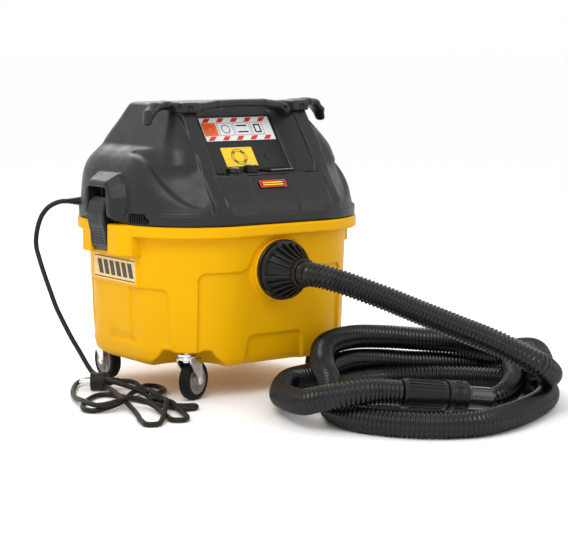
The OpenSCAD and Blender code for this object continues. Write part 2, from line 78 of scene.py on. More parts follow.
# ---------------------------------------------------------------- materials
def material(name, color, rough, metal=0.0, grain=0.0, grain_size=0.7, vary=0.06, edge_highlight=0.0, spec=0.5,
             blotch=35, rough_vary=0.08, coat=0.0):
    """Moulded or metal surface: slow colour drift, a fine surface grain and a painted highlight that lightens
    sharp edges.
    """
    mat = bpy.data.materials.new(name)
    mat.use_nodes = True
    nodes, links = mat.node_tree.nodes, mat.node_tree.links
    shader = nodes["Principled BSDF"]
    shader.inputs["Metallic"].default_value = metal
    shader.inputs["Specular IOR Level"].default_value = spec
    shader.inputs["Coat Weight"].default_value = coat
    place = nodes.new("ShaderNodeTexCoord")

    def noise(scale, detail):
        node = nodes.new("ShaderNodeTexNoise")
        node.inputs["Scale"].default_value = scale
        node.inputs["Detail"].default_value = detail
        links.new(place.outputs["Object"], node.inputs["Vector"])
        return node.outputs["Fac"]

    def spread(value, low, high):
        node = nodes.new("ShaderNodeMapRange")
        node.inputs["From Min"].default_value = 0.3
        node.inputs["From Max"].default_value = 0.7
        node.inputs["To Min"].default_value = low
        node.inputs["To Max"].default_value = high
        links.new(value, node.inputs["Value"])
        return node.outputs["Result"]

    drift = noise(blotch, 3)
    mix = nodes.new("ShaderNodeMix")
    mix.data_type = "RGBA"
    mix.inputs["A"].default_value = (*[c * (1 - vary) for c in color], 1)
    mix.inputs["B"].default_value = (*[min(1, c * (1 + vary)) for c in color], 1)
    links.new(spread(drift, 0, 1), mix.inputs["Factor"])
    out = mix.outputs["Result"]
    # Painted highlight: sharp edges and creases are mixed towards a lighter colour, standing in for light
    # catching them.
    if edge_highlight:
        edge = nodes.new("ShaderNodeNewGeometry")
        ramp = nodes.new("ShaderNodeMapRange")
        ramp.inputs["From Min"].default_value = 0.53
        ramp.inputs["From Max"].default_value = 0.62
        ramp.inputs["To Max"].default_value = edge_highlight
        links.new(edge.outputs["Pointiness"], ramp.inputs["Value"])
        lit_edges = nodes.new("ShaderNodeMix")
        lit_edges.data_type = "RGBA"
        lit_edges.inputs["B"].default_value = (*[min(1, c * 1.9 + 0.02) for c in color], 1)
        links.new(ramp.outputs["Result"], lit_edges.inputs["Factor"])
        links.new(out, lit_edges.inputs["A"])
        out = lit_edges.outputs["Result"]
    links.new(out, shader.inputs["Base Color"])
    links.new(spread(noise(blotch * 3, 4), rough - rough_vary, rough + rough_vary),
              shader.inputs["Roughness"])
    if grain:
        bump = nodes.new("ShaderNodeBump")
        bump.inputs["Strength"].default_value = grain
        bump.inputs["Distance"].default_value = 0.0004
        links.new(noise(1000 / grain_size, 2), bump.inputs["Height"])
        links.new(bump.outputs["Normal"], shader.inputs["Normal"])
    return mat


YELLOW = material("yellow_plastic", (0.73, 0.375, 0.0005), 0.42, grain=0.12, vary=0.03, blotch=9, spec=0.07)
# BLACK and TRIM carry the painted edge highlight.
BLACK = material("black_textured_plastic", (0.0105, 0.0108, 0.0118), 0.38, grain=0.45, grain_size=0.9,
                 edge_highlight=0.2, blotch=12, spec=0.34)
TRIM = material("black_satin_plastic", (0.005, 0.005, 0.0052), 0.34, grain=0.15, edge_highlight=0.15, spec=0.3)
GLOSS = material("black_gloss_plastic", (0.015, 0.015, 0.016), 0.16, coat=0.3, rough_vary=0.04)
HOSE = material("hose_rubber", (0.0035, 0.0034, 0.0033), 0.24, grain=0.12, spec=0.34, vary=0.15)
LEAD = material("lead_rubber", (0.009, 0.009, 0.009), 0.5, grain=0.35, grain_size=0.5, vary=0.15, spec=0.25)
TYRE = material("tyre_rubber", (0.008, 0.0078, 0.0075), 0.62, spec=0.12, grain=0.5, grain_size=1.1,
                vary=0.2, blotch=60)
HUB = material("grey_wheel_plastic", (0.22, 0.205, 0.18), 0.45, spec=0.3, grain=0.2, vary=0.08, blotch=70)
ZINC = material("bright_zinc", (0.72, 0.72, 0.73), 0.22, metal=1.0, grain=0.15, grain_size=1.5, vary=0.12,
                rough_vary=0.1)
STEEL = material("laminated_steel", (0.5, 0.5, 0.52), 0.35, metal=1.0, grain=0.2)
ALLOY = material("impeller_alloy", (0.66, 0.66, 0.68), 0.3, metal=1.0, grain=0.15)
PAPER = material("filter_paper", (0.78, 0.75, 0.66), 0.85, grain=0.6, grain_size=1.2)
FOAM = material("open_cell_foam", (0.12, 0.12, 0.125), 0.95, grain=1.0, grain_size=1.8)
BOARD = material("circuit_board", (0.02, 0.16, 0.07), 0.35, grain=0.1)
FLOAT = material("orange_float", (0.8, 0.3, 0.02), 0.4, grain=0.1)
WHITE_INK = material("white_print", (0.72, 0.72, 0.72), 0.3, vary=0.02)
GREY_INK = material("grey_print", (0.42, 0.42, 0.44), 0.3, vary=0.03)
RED_INK = material("red_print", (0.62, 0.02, 0.015), 0.3, vary=0.03)
ORANGE_INK = material("orange_print", (0.78, 0.12, 0.015), 0.3, vary=0.03)
YELLOW_INK = material("yellow_print", (0.85, 0.55, 0.01), 0.3, vary=0.02)
BLACK_INK = material("black_print", (0.02, 0.018, 0.016), 0.35, vary=0.05)
BADGE_FILM = material("badge_film", (0.80, 0.56, 0.20), 0.3, vary=0.02)


# ---------------------------------------------------------------- mesh tools
def piece(name, points, faces, body, slot, mats, replaces=(), smooth=40, face_mats=None):
    """A finished piece from points in millimetres. It rides on a CAD body, unless that is None."""
    mesh = bpy.data.meshes.new(name)
    mesh.from_pydata((np.asarray(points, float) * MM).tolist(), [], [list(map(int, f)) for f in faces])
    mesh.validate()
    obj = bpy.data.objects.new(name, mesh)
    bpy.context.scene.collection.objects.link(obj)
    for mat in mats:
        mesh.materials.append(mat)
    if face_mats is not None:
        mesh.polygons.foreach_set("material_index", np.asarray(face_mats, np.int32))
    mesh.polygons.foreach_set("use_smooth", [True] * len(mesh.polygons))
    if smooth < 180:
        mesh.set_sharp_from_angle(angle=math.radians(smooth))
    if body:
        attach(obj, body)
    if replaces:
        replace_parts(obj, *replaces)
    return obj


def apply_modifier(obj, kind, **settings):
    """Adds a modifier, applies it and keeps the resulting mesh."""
    mod = obj.modifiers.new(kind.lower(), kind)
    for key, value in settings.items():
        setattr(mod, key, value)
    graph = bpy.context.evaluated_depsgraph_get()
    made = bpy.data.meshes.new_from_object(obj.evaluated_get(graph))
    obj.modifiers.remove(mod)
    obj.data = made
    return obj


def iso_mesh(field, low, high, cell, steps=3):
    """Points and quads of the surface where field is 0. The field is negative inside."""
    low = np.array(low, float)
    axes = [np.arange(low[i], high[i] + cell, cell) for i in range(3)]
    x, y, z = np.meshgrid(*axes, indexing="ij", sparse=True)
    d = np.broadcast_to(field(x, y, z), [len(a) for a in axes]).astype(np.float32)
    inside = (d < 0).astype(np.int8)
    corners = inside[:-1] + inside[1:]
    corners = corners[:, :-1] + corners[:, 1:]
    corners = corners[:, :, :-1] + corners[:, :, 1:]
    cells = np.argwhere((corners > 0) & (corners < 8))
    index = np.full(corners.shape, -1, np.int32)
    index[tuple(cells.T)] = np.arange(len(cells))
    total, count = np.zeros((len(cells), 3)), np.zeros(len(cells))
    unit = np.eye(3, dtype=int)
    for axis in range(3):
        u, v = [a for a in range(3) if a != axis]
        for i in (0, 1):
            for j in (0, 1):
                offset = i * unit[u] + j * unit[v]
                near, far = cells + offset, cells + offset + unit[axis]
                a, b = d[tuple(near.T)], d[tuple(far.T)]
                cross = (a < 0) != (b < 0)
                t = a[cross] / (a[cross] - b[cross])
                total[cross] += offset + t[:, None] * unit[axis]
                count[cross] += 1
    points = (cells + total / count[:, None]) * cell + low
    quads = []
    for axis in range(3):
        u, v = [a for a in range(3) if a != axis]
        change = np.diff(inside, axis=axis)
        e = np.argwhere(change != 0)
        e = e[(e[:, u] > 0) & (e[:, v] > 0) & (e[:, u] < d.shape[u] - 1) & (e[:, v] < d.shape[v] - 1)]
        ring = [e, e - unit[u], e - unit[u] - unit[v], e - unit[v]]
        quad = np.stack([index[tuple(r.T)] for r in ring], 1)
        flip = (change[tuple(e.T)] > 0) != (axis == 1)
        quad[flip] = quad[flip][:, ::-1]
        quads.append(quad)
    quads = np.concatenate(quads)
    for _ in range(steps):
        p, eps = points.T, 0.2
        value = field(*p)
        slope = np.stack([(field(*(p + s[:, None])) - field(*(p - s[:, None]))) / (2 * eps)
                          for s in eps * np.eye(3)], 1)
        size = np.maximum((slope ** 2).sum(1), 0.05)
        move = np.clip(value / size, -0.4 * cell, 0.4 * cell)
        points = points - move[:, None] * slope
    return points, quads


def revolve(profile, sides, origin, axis, closed=True):
    """Points and faces of a profile of (along, radius) turned about an axis."""
    axis = Vector(axis).normalized()
    side = axis.orthogonal().normalized()
    other = axis.cross(side)
    angles = [2 * math.pi * k / sides for k in range(sides)]
    points = [Vector(origin) + axis * a + (side * math.cos(t) + other * math.sin(t)) * r
              for a, r in profile for t in angles]
    rows = len(profile)
    faces = []
    for i in range(rows if closed else rows - 1):
        for k in range(sides):
            a, b = i * sides, ((i + 1) % rows) * sides
            faces.append((a + k, a + (k + 1) % sides, b + (k + 1) % sides, b + k))
    return [tuple(p) for p in points], faces


def join(*parts):
    """One list of points and one of faces from several."""
    points, faces = [], []
    for p, f in parts:
        base = len(points)
        points += [tuple(q) for q in p]
        faces += [tuple(int(i) + base for i in face) for face in f]
    return points, faces


def prism(outline, place, low, high):
    """A closed plate: a flat outline of (u, v), put in space by place(u, v, height)."""
    n = len(outline)
    points = [place(u, v, low) for u, v in outline] + [place(u, v, high) for u, v in outline]
    faces = [tuple(range(n - 1, -1, -1)), tuple(range(n, 2 * n))]
    faces += [(i, (i + 1) % n, n + (i + 1) % n, n + i) for i in range(n)]
    return points, faces


def rounded(x0, y0, x1, y1, r, n=5):
    """Outline of a rectangle with round corners."""
    out = []
    for cx, cy, start in ((x1 - r, y1 - r, 0), (x0 + r, y1 - r, 90), (x0 + r, y0 + r, 180),
                          (x1 - r, y0 + r, 270)):
        for k in range(n + 1):
            t = math.radians(start + 90 * k / n)
            out.append((cx + r * math.cos(t), cy + r * math.sin(t)))
    return out


def smooth_path(points, step):
    """A curve through the points, cut into equal steps."""
    p = np.array(points, float)
    p = np.concatenate([[2 * p[0] - p[1]], p, [2 * p[-1] - p[-2]]])
    knots = np.concatenate([[0], np.cumsum(np.sqrt(np.linalg.norm(np.diff(p, axis=0), axis=1)))])
    fine = []
    for i in range(1, len(p) - 2):
        t = np.linspace(knots[i], knots[i + 1], 24, endpoint=False)[:, None]
        t0, t1, t2, t3 = knots[i - 1:i + 3]
        a1 = (t1 - t) / (t1 - t0) * p[i - 1] + (t - t0) / (t1 - t0) * p[i]
        a2 = (t2 - t) / (t2 - t1) * p[i] + (t - t1) / (t2 - t1) * p[i + 1]
        a3 = (t3 - t) / (t3 - t2) * p[i + 1] + (t - t2) / (t3 - t2) * p[i + 2]
        b1 = (t2 - t) / (t2 - t0) * a1 + (t - t0) / (t2 - t0) * a2
        b2 = (t3 - t) / (t3 - t1) * a2 + (t - t1) / (t3 - t1) * a3
        fine.append((t2 - t) / (t2 - t1) * b1 + (t - t1) / (t2 - t1) * b2)
    fine = np.concatenate(fine + [p[-2:-1]])
    run = np.concatenate([[0], np.cumsum(np.linalg.norm(np.diff(fine, axis=0), axis=1))])
    at = np.linspace(0, run[-1], max(2, round(run[-1] / step)) + 1)
    return np.stack([np.interp(at, run, fine[:, i]) for i in range(3)], 1), run[-1]


def tube(path, radius, sides):
    """Points and faces of a tube along a path. radius is one number for each point."""
    tangent = np.gradient(path, axis=0)
    tangent /= np.linalg.norm(tangent, axis=1)[:, None]
    normal = np.zeros_like(path)
    n = Vector(tangent[0]).orthogonal().normalized()
    for i, t in enumerate(tangent):
        t = Vector(t)
        n = (n - t * n.dot(t)).normalized()
        normal[i] = n
    cross = np.cross(tangent, normal)
    angle = 2 * np.pi * np.arange(sides) / sides
    ring = np.cos(angle)[None, :, None] * normal[:, None] + np.sin(angle)[None, :, None] * cross[:, None]
    points = (path[:, None] + np.asarray(radius)[:, None, None] * ring).reshape(-1, 3)
    i, k = np.meshgrid(np.arange(len(path) - 1), np.arange(sides), indexing="ij")
    a, b = (i * sides + k).ravel(), (i * sides + (k + 1) % sides).ravel()
    faces = np.stack([a, b, b + sides, a + sides], 1).tolist()
    faces.append(list(range(sides - 1, -1, -1)))
    faces.append(list(range(len(points) - sides, len(points))))
    return points, faces


# ---------------------------------------------------------------- solid shapes as fields
def soft_min(a, b, k):
    h = np.clip(0.5 + 0.5 * (b - a) / k, 0, 1)
    return b + (a - b) * h - k * h * (1 - h)


def soft_max(a, b, k):
    return -soft_min(-a, -b, k)


def ease(t):
    t = np.clip(t, 0, 1)
    return t * t * (3 - 2 * t)


def box_field(x, y, z, low, high, r):
    q = []
    for value, lo, hi in zip((x, y, z), low, high):
        q.append(np.abs(value - (lo + hi) / 2) - ((hi - lo) / 2 - r))
    outside = np.sqrt(np.maximum(q[0], 0) ** 2 + np.maximum(q[1], 0) ** 2 + np.maximum(q[2], 0) ** 2)
    return outside + np.minimum(np.maximum(np.maximum(q[0], q[1]), q[2]), 0) - r


def outline_field(u, v, points):
    """Signed distance to a closed outline in a plane, negative inside."""
    best, sign = None, 1.0
    n = len(points)
    for i in range(n):
        (ax, ay), (bx, by) = points[i], points[i - 1]
        ex, ey = bx - ax, by - ay
        wx, wy = u - ax, v - ay
        t = np.clip((wx * ex + wy * ey) / (ex * ex + ey * ey), 0, 1)
        d = (wx - ex * t) ** 2 + (wy - ey * t) ** 2
        best = d if best is None else np.minimum(best, d)
        above, below = v >= ay, v < by
        left = ex * wy > ey * wx
        turn = (above & below & left) | (~above & ~below & ~left)
        sign = np.where(turn, -sign, sign)
    return sign * np.sqrt(best)


def slab_field(flat, w, low, high, r):
    """An outline field pulled along w from low to high, with edges of radius r."""
    thick = np.abs(w - (low + high) / 2) - (high - low) / 2
    a, b = flat + r, thick + r
    return np.sqrt(np.maximum(a, 0) ** 2 + np.maximum(b, 0) ** 2) + np.minimum(np.maximum(a, b), 0) - r


def through(heights, values):
    """A smooth function through the values."""
    heights, values = np.array(heights, float), np.array(values, float)
    slope = np.gradient(values, heights)
    fine = np.linspace(heights[0], heights[-1], 240)
    k = np.clip(np.searchsorted(heights, fine) - 1, 0, len(heights) - 2)
    h = heights[k + 1] - heights[k]
    t = (fine - heights[k]) / h
    made = ((2 * t ** 3 - 3 * t ** 2 + 1) * values[k] + (t ** 3 - 2 * t ** 2 + t) * h * slope[k]
            + (-2 * t ** 3 + 3 * t ** 2) * values[k + 1] + (t ** 3 - t ** 2) * h * slope[k + 1])
    return lambda z: np.interp(z, fine, made)


def plan_field(rows):
    """Walls of a round-cornered shell from rows of height, half width, front, back and corner radius."""
    columns = list(zip(*rows))
    half, front, back, corner = [through(columns[0], c) for c in columns[1:]]

    def field(x, y, z):
        r = corner(z)
        qx = np.abs(x) - (half(z) - r)
        qy = np.abs(y - (front(z) + back(z)) / 2) - ((back(z) - front(z)) / 2 - r)
        return np.hypot(np.maximum(qx, 0), np.maximum(qy, 0)) + np.minimum(np.maximum(qx, qy), 0) - r
    return field


def flat_plan(half, deep, r):
    return plan_field([(0, half, -deep, deep, r), (400, half, -deep, deep, r)])


# ---------------------------------------------------------------- tank
RIM_LOW, RIM_TOP = 280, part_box("tank_rim")[1].z / MM
TANK_HALF, TANK_DEEP = 232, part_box("tank_rim")[1].y / MM
TANK_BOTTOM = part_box("tank")[0].z / MM
STEM_X, STEM_Y = 158, 143
PORT_Z = 220
tank_wall = plan_field([(55, 196, -174, 174, 126), (66, 203, -180, 180, 130), (82, 206, -183, 183, 133),
                        (110, 208, -185, 185, 135), (200, 211, -188, 188, 138), (281, 214, -191, 191, 141)])
rim_wall = flat_plan(TANK_HALF, TANK_DEEP, 150)


def caster_wells(x, y, z):
    """Arched wells over the casters, wider at the bottom edge."""
    away = np.hypot(np.abs(x) - STEM_X, np.abs(y) - STEM_Y)
    reach = 66 - 22 * ease((z - 56) / 28)
    return soft_max(away - reach, z - 82.6 - 4 * ease((away - 18) / 12), 7)


def tank_recesses(x, y, z):
    """How far the wall is set back: front and back panels, foot recesses and side panels."""
    panel = outline_field(np.abs(x), z, [(-20, 20), (135, 20), (135, 207), (-20, 207)]) - 12
    arch = np.hypot(x, z - PORT_Z) - 57
    front = np.where(y < 0, soft_min(panel, arch, 24), panel)
    foot = outline_field(np.abs(x), z, [(-20, 20), (57, 20), (46, 97), (-20, 97)]) - 10
    ends = 4.5 * ease(0.5 - front / 4) + 6.5 * ease(0.5 - foot / 6)
    window = outline_field(np.abs(y), z, [(51, 20), (117, 20), (117, 180), (51, 180)]) - 10
    patch = outline_field(y, z, [(27, 93), (27, 110), (-36, 110), (-58, 93)])
    slope = 4.5 * ease(0.5 - patch / 4) * np.clip((113 - z) / 18, 0.2, 1)
    sides = 4 * ease(0.5 - window / 4) * ease((z - 78) / 30) + slope
    return np.where(np.abs(y) > 130, ends, 0) + np.where(np.abs(y) <= 130, sides, 0)


def tank_field(x, y, z):
    below = TANK_BOTTOM - z
    wall = tank_wall(x, y, z) + tank_recesses(x, y, z)
    body = soft_max(wall, below, 3)
    body = soft_max(body, (wall + below) * 0.707 + 5.5, 3)
    rim = slab_field(rim_wall(x, y, z), z, RIM_LOW, RIM_TOP, 2.2)
    body = soft_min(np.maximum(body, z - RIM_TOP + 0.2), rim, 5)
    ax = np.abs(x)
    ears = box_field(ax, y, z, (190, -84, 246), (244, 57, RIM_TOP - 0.4), 2.5)
    ears = soft_max(ears, 0.85 * (ax - 244) - 0.53 * (y + 62), 3)
    pads = box_field(ax, y, z, (190, -75, 190), (213.3, 75, 246), 2)
    boss = slab_field(np.hypot(x, z - PORT_Z) - 53.5, y, -198, -170, 2)
    body = soft_min(soft_min(soft_min(body, ears, 2), pads, 3), boss, 5)
    inner = soft_max(soft_max(wall + 9, 66 - z, 14), 8 - caster_wells(x, y, z), 8)
    body = soft_max(body, -inner, 2)
    body = soft_max(body, -caster_wells(x, y, z), 5)
    slots = box_field(ax, y, z, (219, -28.5, 200), (270, 28.5, 320), 1.5)
    bore = np.hypot(x, z - PORT_Z) - 31
    body = soft_max(body, -np.where(y < 0, bore, 50), 1)
    return soft_max(body, -slots, 1.5)


def make_tank():
    edge = 6
    points, quads = iso_mesh(tank_field, (-244 - edge, -TANK_DEEP - edge, TANK_BOTTOM - edge),
                             (244 + edge, TANK_DEEP + edge, RIM_TOP + edge), CELL)
    return piece("tank_shell", points, quads, "tank_unit", "yellow_shell", [YELLOW],
                 ["tank", "tank_rim", "port_panel"], smooth=180)


# ---------------------------------------------------------------- head
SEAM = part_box("head_cover")[0].z / MM
SHELF = 381
PANEL_SLOPE = math.radians(53.82)
PANEL_FOOT_Y, PANEL_FOOT_Z = -117.61, 382.18
CONTROLS_Y = -137
MODE_X, AIRFLOW_X, OUTLET_X = -56, -22, 33
# Cosine and sine of how far the back of the bay leans from upright
LEAN = (0.8072, 0.5903)
CREASE_OUT, CREASE_ROUND, CREASE_BACK = 195, 100, -96
CREASE_LOW, CREASE_RISE = 324, 90
head_wall = plan_field([(296, 227, -199, 199, 146), (318, 227, -198, 199, 146), (330, 225.5, -193, 198, 142),
                        (345, 224, -187, 196, 138), (366, 221, -176, 194, 134), (385, 216, -161, 190, 128),
                        (400, 207, -149, 184, 118), (412, 195, -139, 176, 108), (424, 176, -128, 164, 92),
                        (433, 150, -118, 148, 72), (440, 112, -104, 126, 48)])
skirt_wall = flat_plan(230, 202, 148)
hump_wall = plan_field([(400, 178, -140, 145, 40), (425, 172, -130, 138, 40), (440, 164, -119, 131, 36),
                        (470, 146, -96, 115, 32), (493, 133, -80, 103, 28), (504, 126, -73, 96, 26)])
POD = [(-62, 296), (-60, 345), (-51, 366), (-34, 383), (34, 383), (51, 366), (60, 345), (62, 296)]
POD_MOUTH = [(-31, 290), (-31, 355), (-28, 360), (28, 360), (31, 355), (31, 290)]
PILLAR = [(-206, 318), (-157, 381), (-147, 404), (-88, 486), (-80, 497), (-40, 497), (-60, 400), (-120, 318)]
BLOCK = [(-120, SHELF), (-163, SHELF), (-185, 350), (-197, 336), (-202, 316), (-120, 316)]
VENT = [(-22, 303), (-22, 310), (-11, 318), (25, 318), (25, 303)]
VENT_X, VENT_Y, VENT_TURN = -223.6, -97, math.radians(16.9)


def console_recess(x, y, z):
    """The open bay between the pillars. Its side walls flare towards the front."""
    back = LEAN[0] * (y + 116) - LEAN[1] * (z - SHELF)
    ahead = np.clip((-116 + 0.7313 * (z - SHELF) - y) / 44, 0, 1)
    side = np.abs(x) - (80 + 25 * ahead)
    return soft_max(soft_max(SHELF - z, back, 3), side, 3)


def fender_cut(x, y, z):
    """The facet between each side lobe and its pillar. A lip runs along its crease, which sweeps down to
    the seam round the front corner of the head, and inside the lip the facet hollows."""
    ahead = np.clip(CREASE_BACK - y, 0, CREASE_ROUND)
    inward = CREASE_OUT - CREASE_ROUND + np.sqrt(CREASE_ROUND ** 2 - ahead ** 2) - np.abs(x)
    sweep = CREASE_RISE * ease(np.clip((y + 190) / 160, 0, 1) ** 0.85)
    sweep = sweep + CREASE_RISE / 2 * ease((y + 30) / 90)
    slope = (z - CREASE_LOW - sweep - 1.2 * inward) / 1.8
    return slope + 6 * ease((inward + 3) / 14) * ease((y + 200) / 40)


def vent_frame(x, y):
    """Along the skirt and out of it, at the vent on the front left of the skirt."""
    right, ahead = x - VENT_X, y - VENT_Y
    along = ahead * math.cos(VENT_TURN) - right * math.sin(VENT_TURN)
    out = -right * math.cos(VENT_TURN) - ahead * math.sin(VENT_TURN)
    return along, out


def head_solid(x, y, z):
    """Outside of the head, filled: side lobes, hump, pillars, front block, skirt and latch pods."""
    ax = np.abs(x)
    lobes = soft_max(head_wall(x, y, z), z - 437, 5)
    lobes = soft_max(lobes, fender_cut(x, y, z), 2)
    lobes = soft_max(lobes, np.minimum(110 - ax, -124 - y), 4)
    hump = slab_field(hump_wall(x, y, z), z, 290, 500, 5)
    body = soft_min(lobes, hump, 9)
    skirt = skirt_wall(x, y, z)
    pillars = slab_field(outline_field(y, z, PILLAR), ax, 96, 131, 3)
    body = soft_min(body, soft_max(pillars, skirt, 3), 5)
    block = slab_field(outline_field(y, z, BLOCK), x, -108, 108, 2)
    middle = 2.2 * ease((x + 46) / 2.5) * ease((39 - x) / 2.5) * ease((-150 - y) / 6)
    body = soft_min(body, soft_max(block + middle, skirt, 2), 3)
    body = soft_min(body, slab_field(skirt, z, 280, 318.5, 1.6), 2)
    pods = outline_field(y, z, POD) + 0.62 * np.maximum(ax - 224, 0)
    pods = soft_max(soft_max(pods, ax - 248, 6), 190 - ax, 2)
    body = soft_min(body, pods, 3)
    return soft_max(body, -console_recess(x, y, z), 2)


def head_field(x, y, z):
    ax = np.abs(x)
    body = head_solid(x, y, z)
    inner = head_solid(x, y, z + 6) + 5.5
    inner = np.maximum(inner, -box_field(ax, y, z, (211, -40, 250), (270, 40, 368), 1))
    along, out = vent_frame(x, y)
    inner = np.maximum(inner, -box_field(along, out, z, (-30, -16, 250), (33, 20, 326), 1))
    body = soft_max(body, -inner, 1.5)
    mouth = slab_field(outline_field(y, z, POD_MOUTH), ax, 219, 270, 1.5)
    body = soft_max(body, -mouth, 2)
    vents = slab_field(outline_field(along, z, VENT), out, -7, 30, 1)
    body = soft_max(body, -np.where(x < 0, vents, 50), 1.5)
    lead_hole = np.hypot((x + 191.5) * 0.584 + (y - 147.5) * 0.812, z - 322) - 8.6
    body = np.maximum(body, -np.where((x < -150) & (y > 100), lead_hole, 50))
    for knob_x, r in ((MODE_X, 6), (AIRFLOW_X, 6), (OUTLET_X, 18)):
        hole = np.hypot(x - knob_x, y - CONTROLS_Y) - r
        body = np.maximum(body, -np.where(z > 365, hole, 50))
    return soft_max(body, SEAM + 0.3 - z, 1)


def make_head():
    low, high = (-254, -210, SEAM - 6), (254, 210, 508)
    points, quads = iso_mesh(head_field, low, high, CELL)
    return piece("head_shell", points, quads, "head_unit", "black_shell", [BLACK],
                 ["head_cover", "head_dome", "latch_pods", "console_frame"], smooth=180)


# ---------------------------------------------------------------- handle
def chain_field(x, y, z, stops, depth):
    """Rounded bar through stops of (x, z, radius). It is depth times as deep in y as it is high."""
    best = None
    for (ax, az, ar), (bx, bz, br) in zip(stops, stops[1:]):
        ex, ez = bx - ax, bz - az
        t = np.clip(((x - ax) * ex + (z - az) * ez) / (ex * ex + ez * ez), 0, 1)
        d = np.sqrt((x - ax - ex * t) ** 2 + (z - az - ez * t) ** 2 + (y / depth) ** 2) - (ar + (br - ar) * t)
        best = d if best is None else soft_min(best, d, 3)
    return best


def handle_field(x, y, z):
    ax = np.abs(x)
    bar = chain_field(ax, y + 70, z,
                      [(0, 498.5, 8.8), (50, 497.5, 8.8), (82, 493, 9.2), (97, 483, 9), (104, 466, 7)],
                      1.65)
    pad = box_field(ax, y, z, (98, -97, 485), (133, -46, 503), 4)
    horn = chain_field(ax, y + 62, z,
                       [(126, 496, 8), (150, 499, 8), (166, 496, 8), (178, 485, 7), (183, 470, 5.5)], 2.3)
    both = soft_min(soft_min(bar, pad, 7), horn, 7)
    both = soft_max(both, -(np.hypot(ax - 117, z - 491) - 5.6 + 50 * (y > -90)), 1)
    return soft_max(both, z - 507.3, 3)


def make_handle():
    points, quads = iso_mesh(handle_field, (-194, -102, 452), (194, -36, 512), 1.6)
    return piece("handle_grip", points, quads, "head_unit", "black_shell", [BLACK], ["handle"], smooth=180)


# ---------------------------------------------------------------- latches
LATCH = [(221.5, 257), (223.5, 296), (226, 302), (226.5, 338), (231, 343.5), (240, 343), (247.5, 333),
         (251, 314), (250, 296), (246, 282), (244.5, 262), (238, 250), (228, 249.8)]


def latch_field(x, y, z):
    ax = np.abs(x)
    body = slab_field(outline_field(ax, z, LATCH), y, -27, 27, 2.5)
    ridge = 1.0 * (0.5 - 0.5 * np.cos((z - 262) * 2 * np.pi / 5)) * ease((z - 259) / 3) * ease((294 - z) / 3)
    face = ease((ax - 240) / 2) * ease((22 - np.abs(y)) / 1.5)
    return soft_max(body + ridge * face, 2.6 - np.hypot(ax - 226, z - 256), 0.5)


def make_latches():
    for side, name in ((-1, "left"), (1, "right")):
        ends = sorted((side * 218, side * 256))
        points, quads = iso_mesh(latch_field, (ends[0], -31, 245), (ends[1], 31, 349), 1.3)
        piece("latch_lever_" + name, points, quads, "latch_" + name, "black_shell", [TRIM],
              ["latch_" + name], smooth=180)


# ---------------------------------------------------------------- hose and its fittings
HOSE_R, RIB = 21, 7
# The route was settled by a program that relaxed places picked in the photo, and most points are its output.
HOSE_PTS = [
    (0, -267, 220), (0, -281, 220), (12, -300, 217), (36, -322, 208), (82, -373, 185),
    (119, -430, 162), (151, -491, 141), (182, -551, 120), (229, -593, 88), (283, -562, 63),
    (320, -500, 62), (371, -448, 62), (406, -387, 67), (382, -317, 58), (334, -265, 71),
    (267, -243, 80), (196, -228, 89), (125, -226, 94), (57, -246, 88), (13, -298, 66),
    (-22, -360, 55), (-56, -415, 23), (-74, -483, 21), (-52, -551, 21), (-6, -606, 21),
    (58, -636, 21), (129, -628, 21), (196, -602, 21), (260, -568, 21), (315, -523, 21),
    (353, -464, 21), (335, -396, 21), (294, -340, 21), (240, -294, 21), (179, -262, 21),
    (110, -263, 21), (44, -286, 21), (4, -342, 21), (19, -410, 21), (78, -448, 21),
    (141, -479, 21), (201, -518, 22), (264, -493, 36), (313, -441, 52), (366, -397, 50),
    (403, -344, 21), (397, -272, 24), (330, -250, 31), (259, -241, 38), (188, -229, 47),
    (117, -233, 52), (48, -247, 43), (-22, -253, 38), (-73, -300, 30), (-105, -363, 35),
    (-123, -432, 42), (-121, -462, 51), (-107, -490, 59), (-80, -508, 64), (-44, -520, 64), (-11, -534, 60)]
TOOL_AT = Vector(HOSE_PTS[-1])
TOOL_AXIS = Vector((math.sin(math.radians(96)) * math.cos(math.radians(-22.6)),
                    math.sin(math.radians(96)) * math.sin(math.radians(-22.6)), math.cos(math.radians(96))))


def make_hose(fittings):
    path, length = smooth_path(HOSE_PTS, RIB / 6)
    path[:, 2] = np.maximum(path[:, 2], HOSE_R)
    wave = np.cos(np.arange(len(path)) * 2 * np.pi / 6)
    radius = HOSE_R - 1.25 + 1.25 * np.sign(wave) * np.abs(wave) ** 0.7
    points, faces = tube(path, radius, 22)
    hose = piece("suction_hose", points, faces, "tank_unit", "corrugated_hose", [HOSE], ["hose"], smooth=180)


def ribs(count, origin, axis, stations, thick):
    """Fins set round an axis. stations are (along, inner radius, outer radius)."""
    axis = Vector(axis).normalized()
    side = axis.orthogonal().normalized()
    other = axis.cross(side)
    parts = []
    for k in range(count):
        t = 2 * math.pi * k / count
        out, across = side * math.cos(t) + other * math.sin(t), other * math.cos(t) - side * math.sin(t)
        outline = [(a, o) for a, i, o in stations] + [(a, i) for a, i, o in reversed(stations)]

        def place(u, v, w, out=out, across=across):
            return tuple(Vector(origin) + axis * u + out * v + across * w)
        parts.append(prism(outline, place, -thick / 2, thick / 2))
    return join(*parts)


